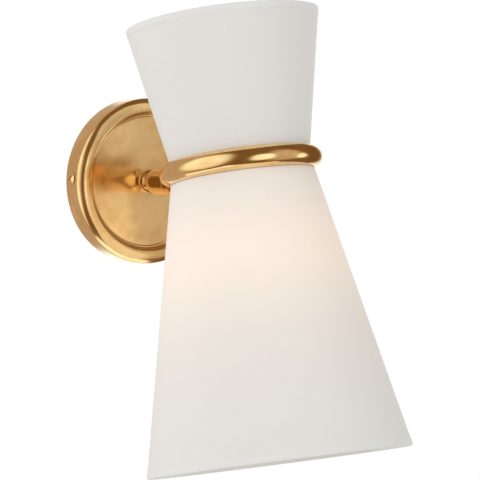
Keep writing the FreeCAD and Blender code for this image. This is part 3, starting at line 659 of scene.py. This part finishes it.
flat_pattern = flat_pattern_group()
plain_weave = plain_weave_group()


def shade_cloth(name, cone, painted_glow_strength, white=cloth_white):
    """White cloth on styrene. The bulb's light through it is painted on as a warm glow, strongest nearest the
    bulb and in the gaps between threads.
    """
    material, tree, shader = new_finish(name, Roughness=0.85, Specular_IOR_Level=0.2, Sheen_Weight=0.08,
                                        Sheen_Roughness=0.5, Emission_Strength=painted_glow_strength)
    slope = (cone["mouth"] - cone["waist"]) / cone["length"]
    opening = math.sin(math.atan(slope))
    spot = use(tree, about_axis, point=ring_centre, axis=shade_up, start=shade_front)
    flat = use(tree, flat_pattern, radius=spot["radius"], turn=spot["turn"], opening=opening)
    weave = use(tree, plain_weave, across=flat["across"], along=flat["along"], pitch=thread_pitch)
    thread_gap = between(tree, weave["relief"], 0.1, 0.5, thread_gap_shade, 0.0)
    streak = between(tree, weave["streaks"], 0.35, 0.65, 0.0, thread_streak_shade)
    tone = maths(tree, "ADD", thread_gap, streak)
    tree.links.new(two_tone(tree, tone, white, cloth_gap), shader["Base Color"])
    # Painted light: the bulb's light through the cloth, drawn as an emission that grows nearer the bulb and a
    # little in the thread gaps.
    light = use(tree, lamp_glow, lamp=bulb_centre, near=0.064, fall=3.0, most=1.15)
    through = maths(tree, "MULTIPLY", light["glow"], maths(tree, "MULTIPLY_ADD", thread_gap, 0.25, 0.95))
    tree.links.new(two_tone(tree, through, (0, 0, 0, 1), painted_glow_warm), shader["Emission Color"])
    raised(tree, shader, weave["relief"], thread_relief, strength=0.4)
    return material


upper_cloth = cloth_cone("upper_shade_cloth", cones["upper"], slack_phase=0.7)
upper_cloth.data.materials.append(shade_cloth("upper_cloth_white", cones["upper"], painted_glow_strength=0.04))
lower_cloth = cloth_cone("lower_shade_cloth", cones["lower"], slack_phase=2.1)
lower_cloth.data.materials.append(shade_cloth("lower_cloth_white", cones["lower"], painted_glow_strength=0.215))
for cloth, node in ((upper_cloth, "upper_fabric"), (lower_cloth, "lower_fabric")):
    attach(cloth, "shade_head")
    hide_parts(node)


# ---------------------------------------------------------------- Rolled hems
# A bias strip of the same cloth, glued flat on the outside, rolled over the wire hoop at each mouth and
# tucked in inside, where its cut edge wanders a little and the curve puckers it.

hem_depth = 0.005
hem_sheet = 0.00022
hem_nose = 0.0019
hem_width = 0.0047
hem_ripple = 0.00006
hem_fine_ripple = 0.00005
hem_wander = 0.0003
hem_fine_wander = 0.0002
nose_steps = 12
hem_columns = 360
# Painted light: the hem is drawn a little lighter and greyer than the cones' cloth. This lifts the shade on
# its nose, which faces down, and leaves out the warmth that the painted glow gives the cones.
hem_white = (0.785, 0.775, 0.755, 1)


def hem_path(cone, turn, phase):
    """The strip's outer face in (radius, reach), from the outside edge over the nose to the inside edge."""
    end = cone["length"]
    path = []
    for drop in (hem_depth, hem_depth * 0.8, hem_depth * 0.6):
        path.append((cone_radius(cone, end - drop) + hem_sheet, end - drop))
    middle = cone_radius(cone, end - hem_nose) + hem_sheet - hem_width / 2
    for step in range(nose_steps + 1):
        angle = math.pi * step / nose_steps
        path.append((middle + hem_width / 2 * math.cos(angle), end - hem_nose + hem_nose * math.sin(angle)))
    ripple = hem_ripple * math.sin(61 * turn + phase) + hem_fine_ripple * math.sin(97 * turn - phase)
    wander = hem_wander * math.sin(7 * turn + phase) + hem_fine_wander * math.sin(19 * turn)
    for share in (0.35, 0.7, 1.0):
        drop = hem_nose + (hem_depth - hem_nose + wander) * share
        inner = cone_radius(cone, end - drop) + hem_sheet - hem_width + ripple * share
        path.append((inner, end - drop))
    return path


def thickened(path, sheet):
    """The same path moved inward by the strip's thickness."""
    inner = []
    for here in range(len(path)):
        before = path[max(here - 1, 0)]
        after = path[min(here + 1, len(path) - 1)]
        run = (after[0] - before[0], after[1] - before[1])
        length = math.hypot(*run)
        inner.append((path[here][0] - run[1] / length * sheet, path[here][1] + run[0] / length * sheet))
    return inner


def rolled_hem(name, cone, phase):
    """The strip all round one mouth, joined end to end. Its puckers start at the phase."""
    mesh = bmesh.new()
    rings = []
    for column in range(hem_columns):
        turn = 2 * math.pi * column / hem_columns
        outer = hem_path(cone, turn, phase)
        loop = outer + thickened(outer, hem_sheet)[::-1]
        rings.append([mesh.verts.new(on_shade(cone, radius, turn, reach)) for radius, reach in loop])
    for here, there in zip(rings, rings[1:] + rings[:1]):
        for corner in range(len(here)):
            after = (corner + 1) % len(here)
            mesh.faces.new([here[corner], here[after], there[after], there[corner]])
    return finished_piece(name, mesh)


# The hems take the cones' painted glow too, but weaker.
upper_hem = rolled_hem("upper_shade_hem", cones["upper"], phase=0.4)
upper_hem.data.materials.append(shade_cloth("upper_hem_white", cones["upper"], 0.02, white=hem_white))
lower_hem = rolled_hem("lower_shade_hem", cones["lower"], phase=1.9)
lower_hem.data.materials.append(shade_cloth("lower_hem_white", cones["lower"], 0.1, white=hem_white))
for hem, node in ((upper_hem, "upper_hem"), (lower_hem, "lower_hem")):
    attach(hem, "shade_head")
    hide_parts(node)


# ---------------------------------------------------------------- Liners
# White styrene film, 0.5 mm thick, that the cloth is laminated on. It shows only inside, where the
# lamp's light on it is painted on as a glow. Its skin is satin, with faint clouds where the glue took
# unevenly.


def styrene_film(name, painted_glow_strength):
    """Satin white film, with the lamp's light on it painted on as a glow."""
    material, tree, shader = new_finish(name, Specular_IOR_Level=0.35, Emission_Strength=painted_glow_strength)
    clouds = use(tree, blotches, size=0.022, low=0.35, high=0.7)
    # Painted light: the lamp's light on the film, drawn as an emission that fades away from the bulb.
    light = use(tree, lamp_glow, lamp=bulb_centre, near=0.062, fall=1.3, most=1.1)
    tree.links.new(two_tone(tree, clouds["patches"], (0.8, 0.785, 0.75, 1), (0.775, 0.758, 0.72, 1)),
                   shader["Base Color"])
    tree.links.new(two_tone(tree, light["glow"], (0, 0, 0, 1), lamp_white), shader["Emission Color"])
    tree.links.new(maths(tree, "MULTIPLY_ADD", clouds["patches"], 0.12, 0.42), shader["Roughness"])
    raised(tree, shader, clouds["patches"], 0.00005)
    return material


dress(styrene_film("upper_liner_film", painted_glow_strength=0.4), "upper_liner")
dress(styrene_film("lower_liner_film", painted_glow_strength=0.42), "lower_liner")


# ---------------------------------------------------------------- Floor
# A plain pale floor, as far below as a wall light hangs above one. It is a small square, so that polished
# brass mirrors the room round it and not a wide white sheet.

floor_drop = 1.65
floor_half = 0.9
floor_own_light = 0.5


def pale_floor():
    """A matt pale floor that shows as white to the camera and in polished metal."""
    material, tree, shader = new_finish("pale_floor", Roughness=0.9, Base_Color=(0.85, 0.85, 0.84, 1))
    path = add(tree, "LightPath").outputs
    shown = maths(tree, "MAXIMUM", path["Is Camera Ray"], path["Is Transmission Ray"])
    shown = maths(tree, "MAXIMUM", shown, path["Is Glossy Ray"])
    lift = add(tree, "Emission", (1, 1, 1, 1), maths(tree, "MULTIPLY", shown, floor_own_light)).outputs[0]
    total = add(tree, "AddShader", tree.nodes["Principled BSDF"].outputs[0], lift).outputs[0]
    tree.links.new(total, tree.nodes["Material Output"].inputs["Surface"])
    return material


floor_mesh = bmesh.new()
floor_corners = [(-floor_half, -floor_half), (floor_half, -floor_half), (floor_half, floor_half),
                 (-floor_half, floor_half)]
floor_mesh.faces.new([floor_mesh.verts.new((x, y, -floor_drop)) for x, y in floor_corners])
floor = finished_piece("floor", floor_mesh)
floor.data.materials.append(pale_floor())


# ---------------------------------------------------------------- Room light
# A white room that lights cloth evenly, a little more from the wall behind and from the floor. Polished
# brass sees a dim warm room with bright places. Three soft lamps light the left side more than the right.

room_level = 0.6
wall_level = 0.95
floor_bounce = 0.2
dim_level = 0.19
dim_tint = (1.0, 0.57, 0.25, 1)
pale_level = 0.85
height_share = 0.55


def toward(bearing, height):
    """A direction from its bearing, from the front towards the right, and its height, in degrees."""
    bearing = math.radians(bearing)
    height = math.radians(height)
    return (math.sin(bearing) * math.cos(height), -math.cos(bearing) * math.cos(height), math.sin(height))


room_patches = {
    "window_left": {"at": toward(-86, 6), "core": 22, "edge": 48, "level": 0.88},
    "window_in_front": {"at": toward(-1, -5), "core": 8, "edge": 22, "level": 0.95},
    "shaded_wall": {"at": toward(34, -2), "core": 14, "edge": 38, "level": 0.4},
    "small_lamp": {"at": toward(64, -7), "core": 3, "edge": 12, "level": 0.95},
    "doorway": {"at": toward(142, -8), "core": 8, "edge": 30, "level": 0.9},
    "far_corner": {"at": toward(-160, 0), "core": 30, "edge": 80, "level": 0.34},
}

world = bpy.data.worlds.new("white_room")
world.use_nodes = True
bpy.context.scene.world = world
room = world.node_tree

# What polished metal sees. Height counts for less than bearing, so every bright place is a tall one.
direction = add(room, "TexCoord").outputs["Generated"]
flattened = vectors(room, "NORMALIZE", vectors(room, "MULTIPLY", direction, (1, 1, height_share)))
level = dim_level
for patch in room_patches.values():
    facing = measure(room, "DOT_PRODUCT", flattened, patch["at"])
    edge = math.cos(math.radians(patch["edge"]))
    core = math.cos(math.radians(patch["core"]))
    level = maths(room, "MULTIPLY_ADD", between(room, facing, edge, core), patch["level"], level)

# What cloth sees, and plain white for the camera and through glass.
ray = add(room, "LightPath").outputs
seen = maths(room, "MAXIMUM", ray["Is Camera Ray"], ray["Is Transmission Ray"])
to_wall = measure(room, "DOT_PRODUCT", direction, (0, 1, 0))
to_floor = measure(room, "DOT_PRODUCT", direction, (0, 0, -1))
even = maths(room, "ADD", between(room, to_wall, -0.1, 0.9, room_level, wall_level),
             between(room, to_floor, 0.3, 1.0, 0.0, floor_bounce))
plain = maths(room, "ADD", even, maths(room, "MULTIPLY", seen, maths(room, "SUBTRACT", 1.0, even)))

# Metal's rays take the first, with the dim places warm, and all other rays take the second.
reflected = maths(room, "MULTIPLY", ray["Is Glossy Ray"], maths(room, "SUBTRACT", level, plain))
pale = maths(room, "MAXIMUM", between(room, level, dim_level, pale_level),
             maths(room, "SUBTRACT", 1.0, ray["Is Glossy Ray"]))
background = room.nodes["Background"].inputs
room.links.new(two_tone(room, pale, dim_tint, (1, 1, 1, 1)), background["Color"])
room.links.new(maths(room, "ADD", plain, reflected), background["Strength"])


def soft_lamp(name, place, size, power):
    """A large soft lamp aimed at the ring. In polished metal the room's bright places stand for it."""
    data = bpy.data.lights.new(name, "AREA")
    data.size = size
    data.energy = power
    lamp = bpy.data.objects.new(name, data)
    lamp.location = place
    lamp.rotation_euler = (ring_centre - Vector(place)).to_track_quat("-Z", "Y").to_euler()
    lamp.visible_glossy = False
    bpy.context.scene.collection.objects.link(lamp)


soft_lamp("window", (-2.3, -1.0, 0.9), size=1.4, power=25.0)
soft_lamp("front_fill", (1.2, -2.1, 0.2), size=1.2, power=12.0)
soft_lamp("wall_bounce", (1.0, 0.8, -0.8), size=1.2, power=9.0)


# ---------------------------------------------------------------- Camera
# It stands where the photograph was taken from: 2.14 m away, 32 degrees to the left and 11 cm above the
# backplate's middle. It was found by fitting the outlines of the plate, the ring and both cones.

camera_distance = 2.136957
camera_bearing = math.radians(31.921)
camera_height = 0.109109
camera_turn = math.radians(1.9768)
camera_pitch = math.radians(-4.1312)
camera_roll = math.radians(-1.3097)

heading = camera_bearing + camera_turn
ahead = Vector((math.sin(heading) * math.cos(camera_pitch), math.cos(heading) * math.cos(camera_pitch),
                math.sin(camera_pitch)))
level_right = Vector((math.cos(heading), -math.sin(heading), 0))
level_up = level_right.cross(ahead)
camera_right = level_right * math.cos(camera_roll) + level_up * math.sin(camera_roll)
camera_up = level_up * math.cos(camera_roll) - level_right * math.sin(camera_roll)

camera_data = bpy.data.cameras.new("camera")
camera_data.sensor_width = 36.0
camera_data.lens = 220.197
camera = bpy.data.objects.new("camera", camera_data)
bpy.context.scene.collection.objects.link(camera)
stand = Vector((-camera_distance * math.sin(camera_bearing), -camera_distance * math.cos(camera_bearing),
                camera_height))
aim = Matrix((camera_right, camera_up, -ahead)).transposed().to_4x4()
camera.matrix_world = Matrix.Translation(stand) @ aim
bpy.context.scene.camera = camera
bpy.context.scene.view_settings.view_transform = "Standard"
